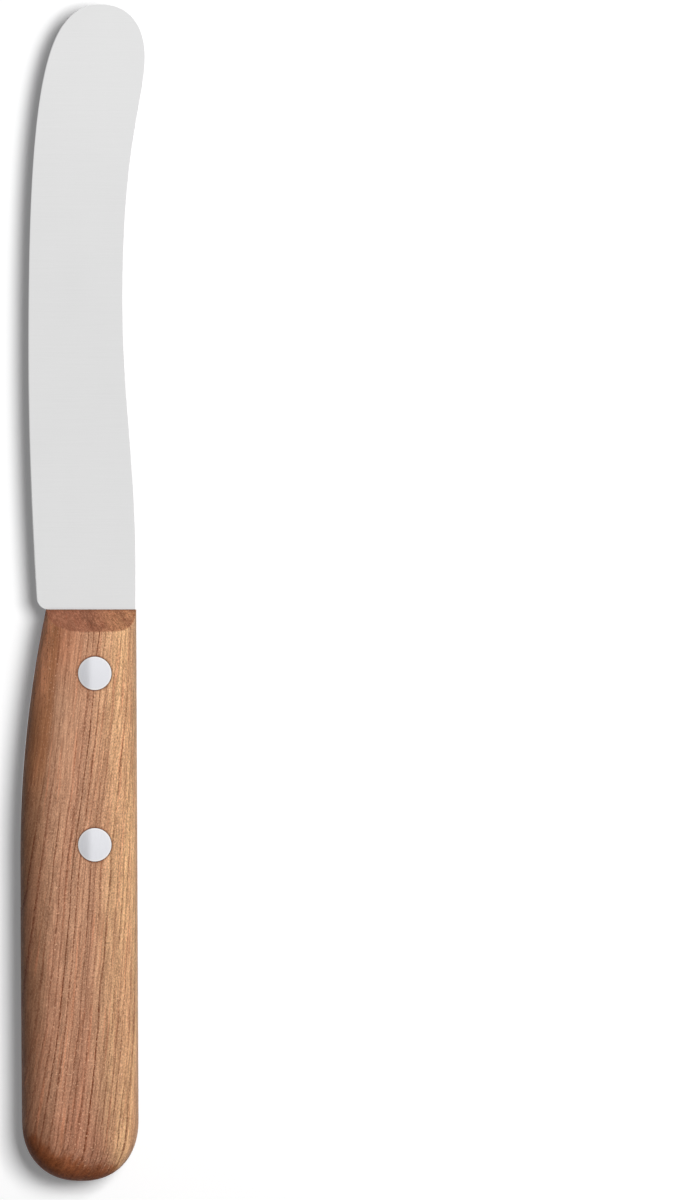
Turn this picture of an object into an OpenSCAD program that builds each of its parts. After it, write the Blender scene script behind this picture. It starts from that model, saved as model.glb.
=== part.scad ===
// A butter and breakfast knife lying on its side.
// A thin ground steel blade ends in a half tang. The tang sits in a saw kerf in a one-piece
// wooden handle, and two flush two-piece rivets hold it there.
// The knife is drawn in a datum of its own: x = 0 on the straight back of the blade, y = 0 where
// the blade leaves the handle, z = 0 half way through the thickness. in_frame() then moves it so
// that its box stands on z = 0, centred on x = 0 and y = 0, with the tip to +Y and the back to +X.

/* [Blade outline] */
// Length of the blade from the handle to the tip
blade_l = 117; // [100:1:140]
// Distance of the cutting edge from the back line at the heel
heel_w = 18.85; // [17:0.05:21]
// Radius of the rounded heel corner
heel_r = 2.3; // [1.8:0.1:4]
// Distance of the cutting edge from the back line where it is fullest
belly_w = 20.65; // [19:0.05:24]
// Distance of that fullest place from the handle
belly_y = 50; // [40:1:65]
// Length of the straight back next to the handle
back_straight = 8; // [4:1:20]
// How far the back dips in at the waist
waist_dip = 2.5; // [0.5:0.1:4]
// Distance of the waist from the handle
waist_y = 60; // [50:1:75]
// How far the hump behind the tip stands out from the back line
hump_rise = 1.8; // [0.5:0.05:4]
// Distance of the hump from the tip
hump_back = 10; // [8:0.5:16]
// Distance of the foremost point of the tip from the back line
tip_in = 6.7; // [5:0.1:11]

/* [Blade curves, as shares of each run] */
// How long the back holds its straight line before it dips
back_leave = 0.39; // [0.2:0.01:0.6]
// How long the waist reaches back toward the handle
waist_enter = 0.37; // [0.2:0.01:0.6]
// How long the waist reaches on toward the hump
waist_leave = 0.65; // [0.3:0.01:0.7]
// How gently the back runs up into the hump
hump_enter = 0.18; // [0.1:0.01:0.3]
// How long the hump holds before it turns to the tip
hump_leave = 0.6; // [0.4:0.01:0.8]
// How blunt the tip is on its back side
tip_back_round = 0.65; // [0.5:0.01:0.85]
// How blunt the tip is on its edge side
tip_edge_round = 0.74; // [0.5:0.01:0.9]
// How long the edge holds its line before it turns to the tip
edge_leave = 0.8; // [0.5:0.01:0.9]

/* [Blade grind] */
// Thickness of the steel that the blade and its tang are cut from
stock_t = 1.4; // [1.2:0.1:2.5]
// Thickness ground off the back of the blade at the heel
back_ground = 0.1; // [0.05:0.05:0.3]
// Thickness lost along the back from the heel to the tip
tip_thinned = 0.4; // [0:0.05:0.5]
// Thickness just behind the cutting edge, at its fullest place
behind_edge_t = 0.2; // [0.16:0.01:0.4]
// Thickness of the cutting edge itself
edge_t = 0.1; // [0.05:0.01:0.15]
// Width of the fine bevel along the cutting edge
edge_bevel_w = 0.3; // [0.2:0.05:1]

/* [Tang and kerf] */
// Length of the tang inside the handle
tang_l = 58; // [52:1:70]
// Radius of the saw that cut the kerf, which rounds the end of the tang too
saw_r = 60; // [40:1:90]
// Room between the tang and each side of the kerf
kerf_side_clear = 0.05; // [0.02:0.01:0.2]
// Room between the end of the tang and the end of the kerf
kerf_end_clear = 0.6; // [0.2:0.1:1.5]

/* [Handle] */
// Length of the handle
handle_l = 110.5; // [95:0.5:130]
// Thickness of the handle
handle_t = 13; // [11:0.1:17]
// Width of the handle where the blade leaves it
front_w = 17.5; // [17:0.1:19]
// Width of the handle at its fullest
swell_w = 22.65; // [20.5:0.05:26]
// Distance of that fullest place from the blade
swell_d = 48; // [40:1:65]
// Width that the butt's outline starts from
butt_w = 22.5; // [19:0.1:26]
// Length of the rounded butt, seen from above
butt_r = 12; // [8:0.1:14]
// Fullness of that outline, from 2 for an ellipse to squarer ones
butt_full = 2.25; // [2:0.05:3]
// Length over which the butt rounds off in thickness
butt_edge_r = 7.6; // [5:0.1:8]
// How far the handle's back stands proud of the blade's back
back_step = 0.2; // [0:0.05:0.5]
// How far the handle's back leans out from the blade to the butt
back_lean = 0.5; // [0:0.05:1]
// Width of the rounding along the belly side
belly_round = 8.5; // [6:0.1:9]
// Width of the rounding along the back side
back_round = 5.5; // [4:0.1:6.5]
// Fullness of that rounding, from 2 for an ellipse to squarer ones
back_full = 3.2; // [2:0.1:4]
// Length of the sloping front faces of the handle
front_slope_l = 4.3; // [3:0.1:6]
// Height of the upright front wall that is left beside the kerf
front_land = 0.4; // [0.2:0.05:1]

/* [Rivets] */
// Distance of the front rivet from the blade
front_rivet_d = 12.3; // [10:0.1:16]
// Distance of the rear rivet from the end of the tang
rear_rivet_end = 12.65; // [11:0.05:20]
// Distance of both rivets from the back line
rivet_in = 7.65; // [7:0.05:10]
// Diameter of a rivet's head
rivet_head_d = 6.5; // [6:0.1:7.5]
// Depth of a rivet's head below the face of the handle
rivet_head_h = 1.5; // [1:0.1:2.5]
// Outside diameter of the rivet's tube
rivet_tube_d = 4.6; // [4.2:0.1:5]
// Diameter of the rivet's pin
rivet_pin_d = 3; // [2.4:0.1:3.4]
// Room around the pin in its tube
pin_clear = 0.02; // [0.01:0.01:0.05]
// Room around the tube in the wood and in the tang
tube_clear = 0.1; // [0.05:0.01:0.2]
// Room around a head in its seat
head_clear = 0.05; // [0.02:0.01:0.1]
// Gap left past the end of the pin and past the end of the tube
rivet_end_gap = 0.6; // [0.3:0.1:1]

/* [Hidden] */
$fn = 96;
// Extra reach of a cutting tool past the face that it cuts
over = 1;
// Depth of the blade's root inside the tang, and how far the root is drawn in at both sides
root_l = 0.6;
root_in = 0.5;
// Steps along the back: straight, to the waist, to the hump, to the tip
straight_n = 4;
waist_n = 14;
hump_n = 18;
tip_n = 20;
// Steps along the edge: heel corner, to the fullest place, to the tip
heel_n = 6;
belly_n = 14;
edge_n = straight_n + waist_n + hump_n + tip_n - heel_n - belly_n;
// Steps over which the fine bevel fades out before the tip
fade_n = 10;
// Steps along the handle: to the swell, to the butt, around the butt
front_n = 18;
rear_n = 14;
butt_n = 20;
// Steps around the handle: back side and belly side, each from below to above
back_n = 18;
side_n = 24;

hump_y = blade_l - hump_back;
tip = [-tip_in, blade_l];
back_t = stock_t - back_ground;
// Loss of thickness for each unit away from the handle and away from the back line
lengthwise = tip_thinned / blade_l;
crosswise = (back_t - behind_edge_t - lengthwise * belly_y) / belly_w;
half_t = handle_t / 2;
kerf_t = stock_t + 2 * kerf_side_clear;
seat_z = half_t - rivet_head_h;
rivet_x = -rivet_in;
rear_rivet_d = tang_l - rear_rivet_end;
// The knife's reach to both sides, for placing it
reach_back = max(hump_rise, handle_back(handle_l - butt_r));
reach_belly = max(belly_w, -handle_belly(swell_d));

// Point on a cubic curve from a to d that leaves toward b and arrives from c
function cubic(a, b, c, d, t) =
    a * pow(1 - t, 3) + 3 * b * t * pow(1 - t, 2) + 3 * c * t * t * (1 - t) + d * pow(t, 3);

// The blade's back from the handle to the tip
function back_line() =
    let (dip = [-waist_dip, waist_y])
    let (hump = [hump_rise, hump_y])
    let (run_1 = waist_y - back_straight)
    let (run_2 = hump_y - waist_y)
    concat(
        [for (i = [0 : straight_n - 1]) [0, back_straight * i / straight_n]],
        [for (i = [0 : waist_n - 1])
            cubic([0, back_straight], [0, back_straight + back_leave * run_1],
                dip - [0, waist_enter * run_1], dip, i / waist_n)],
        [for (i = [0 : hump_n - 1])
            cubic(dip, dip + [0, waist_leave * run_2], hump - [0, hump_enter * run_2], hump, i / hump_n)],
        [for (i = [0 : tip_n])
            cubic(hump, hump + [0, hump_leave * hump_back],
                tip + [tip_back_round * (hump_rise + tip_in), 0], tip, i / tip_n)]
    );

// Distance of the cutting edge from the back line between the heel and its fullest place
function edge_out(y) = belly_w - (belly_w - heel_w) * pow(1 - y / belly_y, 2);

// The cutting edge from the handle around the heel corner to the tip
function edge_line() =
    let (full = [-belly_w, belly_y])
    let (heel_c = [heel_r - edge_out(heel_r), heel_r])
    concat(
        [for (i = [0 : heel_n - 1]) heel_c - heel_r * [sin(90 * i / heel_n), cos(90 * i / heel_n)]],
        [for (i = [0 : belly_n - 1])
            let (y = heel_r + (belly_y - heel_r) * i / belly_n) [-edge_out(y), y]],
        [for (i = [0 : edge_n])
            cubic(full, full + [0, edge_leave * (blade_l - belly_y)],
                tip - [tip_edge_round * (belly_w - tip_in), 0], tip, i / edge_n)]
    );

// Half the thickness that the flat grind leaves at a point of the outline
function grind_z(p) = max(edge_t, back_t + crosswise * p[0] - lengthwise * p[1]) / 2;

// Unit vector into the blade, square to the line at its i-th point
function inward(line, i) =
    let (along = line[i + 1] - line[i - 1])
    [along[1], -along[0]] / norm(along);

// Two outlines stepped rung by rung from a root inside the tang to the tip. The flat grind spans
// each rung from the back to the inside of the fine bevel. The bevel runs on to the cutting edge.
module ground_blade() {
    line_b = back_line();
    line_e = edge_line();
    last = len(line_b) - 1;
    fade = [for (i = [0 : last]) min(1, i / heel_n, (last - i) / fade_n)];
    line_i = [for (i = [0 : last])
        fade[i] == 0 ? line_e[i] : line_e[i] + edge_bevel_w * fade[i] * inward(line_e, i)];
    root_b = [line_b[0] - [root_in, root_l]];
    root_e = [line_e[0] + [root_in, -root_l]];
    rungs_b = concat(root_b, line_b);
    rungs_i = concat(root_e, line_i);
    rungs_e = concat(root_e, line_e);
    fades = concat([0], fade);
    n = last + 1;
    // The six rows of points: back, inside of the bevel and edge, each above and below
    z_b = [for (p = rungs_b) grind_z(p)];
    z_i = [for (p = rungs_i) grind_z(p)];
    z_e = [for (i = [0 : n]) z_i[i] + (edge_t / 2 - z_i[i]) * fades[i]];
    points = concat(
        [for (i = [0 : n]) [rungs_b[i][0], rungs_b[i][1], z_b[i]]],
        [for (i = [0 : n]) [rungs_b[i][0], rungs_b[i][1], -z_b[i]]],
        [for (i = [0 : n]) [rungs_i[i][0], rungs_i[i][1], z_i[i]]],
        [for (i = [0 : n]) [rungs_i[i][0], rungs_i[i][1], -z_i[i]]],
        [for (i = [0 : n]) [rungs_e[i][0], rungs_e[i][1], z_e[i]]],
        [for (i = [0 : n]) [rungs_e[i][0], rungs_e[i][1], -z_e[i]]]
    );
    // Where the bevel has no width, or the rung no length, rows share the same point
    bt = [for (i = [0 : n]) i];
    bb = [for (i = [0 : n]) n + 1 + i];
    it = [for (i = [0 : n]) i == n ? bt[n] : 2 * (n + 1) + i];
    ib = [for (i = [0 : n]) i == n ? bb[n] : 3 * (n + 1) + i];
    et = [for (i = [0 : n]) fades[i] == 0 ? it[i] : 4 * (n + 1) + i];
    eb = [for (i = [0 : n]) fades[i] == 0 ? ib[i] : 5 * (n + 1) + i];
    faces = concat(
        strip(it, bt),
        strip(bb, ib),
        strip(et, it),
        strip(ib, eb),
        strip(eb, et),
        strip(bt, bb),
        [[it[0], bt[0], bb[0], ib[0]]]
    );
    polyhedron(points, faces);
}

// Triangles between two rows of points, left row first as seen from outside, without empty ones
function strip(left, right) =
    [for (i = [0 : len(left) - 2])
        for (f = [[left[i], left[i + 1], right[i + 1]], [left[i], right[i + 1], right[i]]])
            if (f[0] != f[1] && f[1] != f[2] && f[2] != f[0]) f];

// Back, width and belly of the handle at a distance from the blade, before the butt is rounded
function handle_back(d) = back_step + back_lean * d / handle_l;

function handle_width(d) =
    d < swell_d
        ? swell_w - (swell_w - front_w) * pow(1 - d / swell_d, 2)
        : swell_w - (swell_w - butt_w) * pow((d - swell_d) / (handle_l - swell_d), 2);

function handle_belly(d) = handle_back(d) - handle_width(d);

// Share of its size that is left at a distance from the blade when the last r of it is rounded off
function rounded_end(d, r, full) = pow(max(0, 1 - pow(max(0, d - handle_l + r) / r, full)), 1 / full);

// A sine or cosine bent so that the curve drawn with it has the given fullness
function fuller(v, full) = sign(v) * pow(abs(v), 2 / full);

// One section of the handle: two flats joined by a full rounding along the back and half an ellipse
// along the belly
function section(d) =
    let (back = handle_back(d))
    let (belly = handle_belly(d))
    let (mid = (back + belly) / 2)
    let (wide = rounded_end(d, butt_r, butt_full))
    let (high = half_t * rounded_end(d, butt_edge_r, 2))
    concat(
        [for (i = [0 : back_n])
            let (a = 180 * i / back_n - 90)
            let (out = back_round * (fuller(cos(a), back_full) - 1))
            [mid + wide * (back + out - mid), -d, high * fuller(sin(a), back_full)]],
        [for (i = [0 : side_n])
            let (a = 180 * i / side_n + 90)
            let (out = belly_round * (cos(a) + 1))
            [mid + wide * (belly + out - mid), -d, high * sin(a)]]
    );

// Distances from the blade at which the handle's sections are drawn, up to its end
function stations() =
    concat(
        [for (i = [0 : front_n - 1]) swell_d * i / front_n],
        [for (i = [0 : rear_n - 1]) swell_d + (handle_l - butt_r - swell_d) * i / rear_n],
        [for (i = [0 : butt_n]) handle_l - butt_r + butt_r * sin(90 * i / butt_n)]
    );

// The outside form of the handle through the sections at the given distances, before anything is
// cut into it. At the end of the handle the last section is a point.
module handle_form(at) {
    around = back_n + side_n + 2;
    last = len(at) - 1;
    whole = at[last] >= handle_l;
    points = [for (d = at) for (p = section(d)) p];
    sides = [for (j = [0 : last - 1])
        for (k = [0 : around - 1])
            let (a = j * around + (k + 1) % around)
            let (b = j * around + k)
            for (f = whole && j == last - 1
                ? [[a, b, last * around]]
                : [[a, b, b + around], [a, b + around, a + around]]) f];
    front = [for (k = [0 : around - 1]) k];
    rear = [for (k = [around - 1 : -1 : 0]) last * around + k];
    polyhedron(points, concat([front], sides, whole ? [] : [rear]));
}

// A round saw's plate reaching a distance into the handle
module saw_plate(reach, thickness) {
    translate([handle_belly(tang_l) / 2, saw_r - tang_l, 0])
        cylinder(r = saw_r + reach, h = thickness, center = true);
}

// The tang, flush with the handle at the back and at the belly
module tang() {
    intersection() {
        saw_plate(0, stock_t);
        handle_form([for (d = stations()) if (d < tang_l + butt_r) d]);
    }
}

// What is cut away in front of the sloping front face, on the upper side
module front_slope() {
    low = kerf_t / 2 + front_land;
    fall = (half_t - low) / front_slope_l;
    wide = 2 * (reach_belly + over);
    rotate([90, 0, 90])
        linear_extrude(height = wide, center = true)
            polygon([
                [-front_slope_l, half_t],
                [over, low - fall * over],
                [over, half_t + over],
                [-front_slope_l, half_t + over]
            ]);
}

// Puts a rivet's parts at a distance behind the blade
module at_rivet(d) {
    translate([rivet_x, -d, 0])
        children();
}

// The hole through wood and steel for one rivet
module rivet_hole(d) {
    at_rivet(d)
        cylinder(d = rivet_tube_d + 2 * tube_clear, h = handle_t + 2 * over, center = true);
}

// The seats in the wood for a rivet's two heads
module rivet_seats(d) {
    for (side = [0, 1])
        mirror([0, 0, side])
            at_rivet(d)
                translate([0, 0, seat_z])
                    cylinder(d = rivet_head_d + 2 * head_clear, h = rivet_head_h + over);
}

// The upper head of a rivet, dressed down flush with the handle
module rivet_head(d) {
    intersection() {
        at_rivet(d)
            translate([0, 0, seat_z])
                cylinder(d = rivet_head_d, h = rivet_head_h + over);
        handle_form([d - rivet_head_d, d, d + rivet_head_d]);
    }
}

// The half of a rivet with the pin, its head above
module rivet_post(d) {
    pin_low = rivet_end_gap - seat_z;
    rivet_head(d);
    at_rivet(d)
        translate([0, 0, pin_low])
            cylinder(d = rivet_pin_d, h = seat_z + rivet_head_h / 2 - pin_low);
}

// The half of a rivet with the tube, its head below
module rivet_socket(d) {
    tube_top = seat_z - rivet_end_gap;
    tube_low = -seat_z - rivet_head_h / 2;
    difference() {
        union() {
            mirror([0, 0, 1])
                rivet_head(d);
            at_rivet(d)
                translate([0, 0, tube_low])
                    cylinder(d = rivet_tube_d, h = tube_top - tube_low);
        }
        at_rivet(d)
            translate([0, 0, -seat_z])
                cylinder(d = rivet_pin_d + 2 * pin_clear, h = tube_top + seat_z + over);
    }
}

// From the knife's own datum to the shared frame
module in_frame() {
    translate([(reach_belly - reach_back) / 2, (handle_l - blade_l) / 2, half_t])
        children();
}

module blade() {
    color("silver")
        in_frame() {
            ground_blade();
            difference() {
                tang();
                rivet_hole(front_rivet_d);
                rivet_hole(rear_rivet_d);
            }
        }
}

module handle() {
    color("peru")
        in_frame()
            difference() {
                handle_form(stations());
                saw_plate(kerf_end_clear, kerf_t);
                front_slope();
                mirror([0, 0, 1])
                    front_slope();
                rivet_hole(front_rivet_d);
                rivet_hole(rear_rivet_d);
                rivet_seats(front_rivet_d);
                rivet_seats(rear_rivet_d);
            }
}

module front_rivet_post() {
    color("lightgray")
        in_frame()
            rivet_post(front_rivet_d);
}

module front_rivet_socket() {
    color("lightgray")
        in_frame()
            rivet_socket(front_rivet_d);
}

module rear_rivet_post() {
    color("lightgray")
        in_frame()
            rivet_post(rear_rivet_d);
}

module rear_rivet_socket() {
    color("lightgray")
        in_frame()
            rivet_socket(rear_rivet_d);
}

blade();
handle();
front_rivet_post();
front_rivet_socket();
rear_rivet_post();
rear_rivet_socket();
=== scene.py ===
"""A butter knife lying on a pale table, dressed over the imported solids.

The knife's own datum is x = 0 on the straight back of the blade, y = 0 where the blade leaves the
handle and z = 0 half way through the thickness. Every shape is worked out there as numpy arrays and
then moved into the frame. All lengths are in metres.
"""

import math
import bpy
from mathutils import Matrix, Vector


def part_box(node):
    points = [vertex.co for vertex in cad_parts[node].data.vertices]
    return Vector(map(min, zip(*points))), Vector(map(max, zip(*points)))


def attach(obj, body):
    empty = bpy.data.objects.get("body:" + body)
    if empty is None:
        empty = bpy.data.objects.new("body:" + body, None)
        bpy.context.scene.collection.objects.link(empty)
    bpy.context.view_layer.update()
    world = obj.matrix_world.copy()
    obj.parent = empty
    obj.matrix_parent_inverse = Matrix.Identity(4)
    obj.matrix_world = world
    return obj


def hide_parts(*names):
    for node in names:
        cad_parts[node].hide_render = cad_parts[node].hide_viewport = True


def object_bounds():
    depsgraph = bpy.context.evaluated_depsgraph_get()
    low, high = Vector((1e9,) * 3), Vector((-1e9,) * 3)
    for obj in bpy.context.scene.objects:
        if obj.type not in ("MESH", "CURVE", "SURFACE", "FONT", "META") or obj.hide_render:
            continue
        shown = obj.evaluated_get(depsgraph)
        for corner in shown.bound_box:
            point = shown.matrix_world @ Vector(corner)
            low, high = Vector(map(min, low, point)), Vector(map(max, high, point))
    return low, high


bl_info = {
    "name": "Butter Knife",
    "version": (1, 0, 0),
    "blender": (4, 5, 0),
    "location": "View3D > Sidebar > Knife",
    "description": "Makes a butter knife with a ground steel blade, a wooden handle and flush rivets",
    "category": "Add Mesh",
}

import bmesh
import bpy
import numpy as np
from mathutils import Vector

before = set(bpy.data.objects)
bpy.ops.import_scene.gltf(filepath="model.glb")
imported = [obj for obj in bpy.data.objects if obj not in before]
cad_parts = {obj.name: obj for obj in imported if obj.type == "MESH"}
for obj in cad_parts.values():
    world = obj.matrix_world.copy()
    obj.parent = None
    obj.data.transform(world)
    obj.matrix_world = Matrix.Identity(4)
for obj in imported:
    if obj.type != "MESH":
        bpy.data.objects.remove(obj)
CAD_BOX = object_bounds()
HANDLE_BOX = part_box("handle")
BLADE_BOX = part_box("blade")
FRONT_RIVET_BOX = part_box("front_rivet_post")
REAR_RIVET_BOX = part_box("rear_rivet_post")
HUMP_RISE = 0.0018
# The knife's datum in the frame
DATUM = np.array(
    [
        BLADE_BOX[1].x - HUMP_RISE,
        HANDLE_BOX[1].y,
        (HANDLE_BOX[0].z + HANDLE_BOX[1].z) / 2,
    ]
)
# The photograph's frame in pixels, and the length that one of them covers at the knife
PHOTO_WIDE = 675
PHOTO_HIGH = 1200
PIXEL = 0.00019339
# Where the straight back of the blade and the front of the handle lie in the photograph, in pixels
BACK_COLUMN = 135.15
FRONT_ROW = 609.5
# Points this near are one point, in a new surface and after a cut
SAME_POINT = 2e-7
SAME_CUT_POINT = 2e-6
# How far cutters reach: from the middle of the steel, and past the wood
STEEL_CUT = 0.002
WOOD_CUT = 0.001
# Facets round a rivet, round a hole and round the saw that cuts the kerf
RIVET_FACETS = 96
HOLE_FACETS = 128
SAW_FACETS = 512
# Faces that meet at a sharper angle than this show an edge
CREASE = math.radians(30)
# The table's half side, and how far it lies under the knife
TABLE_HALF = 6.0
TABLE_GAP = 0.00002
BLACK = (0.0, 0.0, 0.0)
WHITE = (1.0, 1.0, 1.0)
# How many make a metre
MILLIMETRES = 1000.0
# Rays that show the table and the sky: to the camera, in metal and through clear things
SEEN_RAYS = ("Is Camera Ray", "Is Glossy Ray", "Is Transmission Ray")


def length(name, description, default):
    """A length that the user may change."""
    return bpy.props.FloatProperty(
        name=name,
        description=description,
        default=default,
        min=0.0,
        precision=5,
        subtype="DISTANCE",
        unit="LENGTH",
    )


def share(name, description, default):
    """A share between 0 and 1 that the user may change."""
    return bpy.props.FloatProperty(
        name=name,
        description=description,
        default=default,
        min=0.0,
        max=1.0,
        subtype="FACTOR",
    )


def fullness(name, description, default):
    """How square a rounding is that the user may change: 2 for an ellipse, more for squarer ones."""
    return bpy.props.FloatProperty(
        name=name, description=description, default=default, min=2.0, max=6.0
    )


def colour(name, description, default):
    """A colour that the user may change."""
    return bpy.props.FloatVectorProperty(
        name=name,
        description=description,
        default=default,
        min=0.0,
        max=1.0,
        size=3,
        subtype="COLOR",
    )


class BladeSettings(bpy.types.PropertyGroup):
    """Sizes and colour of the blade and its tang."""

    blade_length: length(
        "Length", "From the handle to the tip", BLADE_BOX[1].y - HANDLE_BOX[1].y
    )
    heel_width: length("Heel", "Edge to back line at the heel", 0.01885)
    heel_radius: length("Heel Corner", "Radius of the rounded heel corner", 0.0023)
    belly_width: length("Belly", "Edge to back line where the edge is fullest", 0.02065)
    belly_at: length("Belly Place", "Fullest place of the edge, from the handle", 0.050)
    back_straight: length("Straight Back", "Straight back next to the handle", 0.008)
    waist_dip: length("Waist", "How far the back dips in", 0.0025)
    waist_at: length("Waist Place", "Place of the waist, from the handle", 0.060)
    hump_rise: length("Hump", "How far the hump stands out", HUMP_RISE)
    hump_from_tip: length("Hump Place", "Place of the hump, from the tip", 0.010)
    tip_in: length("Tip", "Foremost point of the tip, from the back line", 0.0067)
    back_leave: share("Back Leave", "How long the back holds its straight line", 0.39)
    waist_enter: share("Waist Enter", "How long the waist reaches to the handle", 0.37)
    waist_leave: share("Waist Leave", "How long the waist reaches to the hump", 0.65)
    hump_enter: share("Hump Enter", "How gently the back runs up into the hump", 0.18)
    hump_leave: share("Hump Leave", "How long the hump holds before the tip", 0.6)
    tip_back: share("Tip Back", "How blunt the tip is on its back side", 0.65)
    tip_edge: share("Tip Edge", "How blunt the tip is on its edge side", 0.74)
    edge_leave: share("Edge Leave", "How long the edge holds its line before the tip", 0.8)
    stock: length("Steel", "Thickness of the tang", BLADE_BOX[1].z - BLADE_BOX[0].z)
    back_ground: length("Ground Off", "Thickness ground off the back", 0.0001)
    tip_thinned: length("Thinning", "Thickness lost along the back", 0.0004)
    behind_edge: length("Behind Edge", "Thickness just behind the edge", 0.0002)
    edge: length("Edge", "Thickness of the cutting edge", 0.0001)
    edge_bevel: length("Edge Bevel", "Width of the fine bevel on the edge", 0.00016)
    arris: length("Arris", "Radius of the softened back corners", 0.00003)
    tang_length: length("Tang", "Length of the tang in the handle", 0.058)
    saw_radius: length("Saw", "Radius of the kerf's round end", 0.060)
    steel: colour("Steel", "Colour of the ground steel", (0.832, 0.832, 0.832))


class HandleSettings(bpy.types.PropertyGroup):
    """Sizes and colours of the wooden handle."""

    handle_length: length(
        "Length", "From the blade to the butt", HANDLE_BOX[1].y - HANDLE_BOX[0].y
    )
    thickness: length("Thickness", "Face to face", HANDLE_BOX[1].z - HANDLE_BOX[0].z)
    front_width: length("Front", "Width where the blade leaves it", 0.0175)
    swell_width: length("Swell", "Width at its fullest", 0.02265)
    swell_at: length("Swell Place", "Fullest place, from the blade", 0.048)
    butt_width: length("Butt", "Width that the butt's outline starts from", 0.0225)
    butt_round: length("Butt Round", "Length of the rounded butt from above", 0.012)
    butt_full: fullness("Butt Fullness", "Fullness of the butt's outline", 2.25)
    butt_edge: length("Butt Edge", "Length of the butt's rounding in thickness", 0.0076)
    back_step: length("Back Step", "How far its back stands proud", 0.0002)
    back_lean: length("Back Lean", "How far its back leans out to the butt", 0.0005)
    belly_round: length("Belly Round", "Width of the rounding on the belly", 0.0085)
    back_round: length("Back Round", "Width of the rounding on the back", 0.0055)
    back_full: fullness("Back Fullness", "Fullness of the rounding on the back", 3.2)
    front_slope: length("Front Slope", "Length of the sloping front faces", 0.0043)
    front_land: length("Front Land", "Upright wall beside the kerf", 0.0004)
    ridge_soft: length("Ridge", "Reach of the sanding over the front ridge", 0.0004)
    kerf_side: length("Kerf Side", "Room beside the tang", 0.00005)
    kerf_end: length("Kerf End", "Room past the end of the tang", 0.0006)
    pale: colour("Pale Wood", "Colour between the year rings", (0.62, 0.336, 0.206))
    # Partly the wood's own tone and partly painted shade on the belly's side, which faces away from the
    # key
    brown: colour("Brown Wood", "Colour toward the belly", (0.332, 0.157, 0.083))
    # Partly the wood's own tone and partly painted light on the back's side, which faces the key
    tan: colour("Tan Wood", "Colour toward the back", (0.90, 0.54, 0.285))
    rosy: colour("Rosy Wood", "Colour of the redder streaks", (0.50, 0.236, 0.146))
    # Also painted as light on the front of the belly's flank, where it lifts the shade
    red: colour("Red Wood", "Colour of the red veins", (0.66, 0.265, 0.145))
    russet: colour("Russet Wood", "Colour of the zone along the belly's front", (0.46, 0.192, 0.088))
    # Painted light: a bright colour that lifts the shade on the front of the belly's flank
    painted_flank_light: colour("Flank Light", "Colour of the front of the belly", (0.96, 0.41, 0.22))
    # Also the colour of the painted shade in the joints at the blade and around the rivets
    dark: colour("Fibre", "Colour of the darker fibres", (0.17, 0.065, 0.032))
    ring: colour("Ring Line", "Colour of the dark ring lines", (0.17, 0.05, 0.022))
    pore: colour("Pore", "Colour of the pores", (0.13, 0.05, 0.024))
    fleck: colour("Fleck", "Colour of the pale flecks", (0.88, 0.52, 0.33))
    front_oil: colour("Front End Grain", "What oil does to the cut front", (0.70, 0.53, 0.50))
    # Near the butt's belly corner this also darkens the wood as painted shade
    butt_oil: colour("Butt End Grain", "What oil does to the butt", (0.64, 0.41, 0.245))


class RivetSettings(bpy.types.PropertyGroup):
    """Sizes and colour of the rivets."""

    head: length("Head", "Diameter of a head", FRONT_RIVET_BOX[1].x - FRONT_RIVET_BOX[0].x)
    head_depth: length("Head Depth", "Depth of a head in the wood", 0.0015)
    head_crown: length("Crown", "How far a head falls off to its rim", 0.00016)
    head_edge: length("Rim", "Radius of a head's rim", 0.00005)
    tube: length("Tube", "Outside diameter of the tube", 0.0046)
    pin: length("Pin", "Diameter of the pin", 0.003)
    pin_room: length("Pin Room", "Room around the pin", 0.00002)
    tube_room: length("Tube Room", "Room around the tube", 0.0001)
    head_room: length("Head Room", "Room around a head", 0.00005)
    end_gap: length("End Gap", "Gap past the pin and past the tube", 0.0006)
    metal: colour("Aluminium", "Colour of the rivets", (0.735, 0.738, 0.772))
    # A painted highlight: the paler colour of a head's rim
    rim_highlight: colour("Rim Highlight", "Colour of the brighter rim of a head", (0.90, 0.86, 0.83))


class StageSettings(bpy.types.PropertyGroup):
    """Camera, light and floor."""

    lens: bpy.props.FloatProperty(
        name="Lens", description="Focal length in millimetres", default=300.0, min=20.0
    )
    key_height: bpy.props.FloatProperty(
        name="Key Height",
        description="Height of the main light above the horizon",
        default=math.radians(66),
        subtype="ANGLE",
    )
    key_turn: bpy.props.FloatProperty(
        name="Key Turn",
        description="Turn of the main light from the knife's back toward the tip",
        default=math.radians(23),
        subtype="ANGLE",
    )
    key_distance: length("Key Distance", "Distance of the main light", 1.0)
    key_size: length("Key Size", "Side of the square main light", 0.43)
    key_level: share("Key Level", "Share of a white floor's brightness from it", 0.97)
    sky_level: share("Sky Level", "Share of a white floor's brightness from the sky", 0.03)
    floor_colour: colour("Table", "Colour of the table", (0.865, 0.865, 0.865))
    floor_glow: colour("Table Glow", "Light that comes through the table", (0.215, 0.215, 0.217))
    bounce_colour: colour("Bounce", "Colour the table lends to the knife", (0.12, 0.12, 0.12))


# Shapes


def cubic(a, b, c, d, t):
    """Points on the cubic curve from a to d that leaves toward b and arrives from c: the four points
    weighted by (1-t)^3, 3t(1-t)^2, 3t^2(1-t) and t^3."""
    a, b, c, d = (np.asarray(p, float) for p in (a, b, c, d))
    t = np.asarray(t, float)[:, None]
    return a * (1 - t) ** 3 + 3 * b * t * (1 - t) ** 2 + 3 * c * t**2 * (1 - t) + d * t**3


def steps(n, last=False):
    """n even shares from 0 up to 1, with 1 itself only where asked."""
    return np.linspace(0, 1, n + 1)[: n + 1 if last else n]


def quarter_turn(n):
    """n even angles from 0 to a right angle."""
    return np.linspace(0, math.pi / 2, n)


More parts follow.
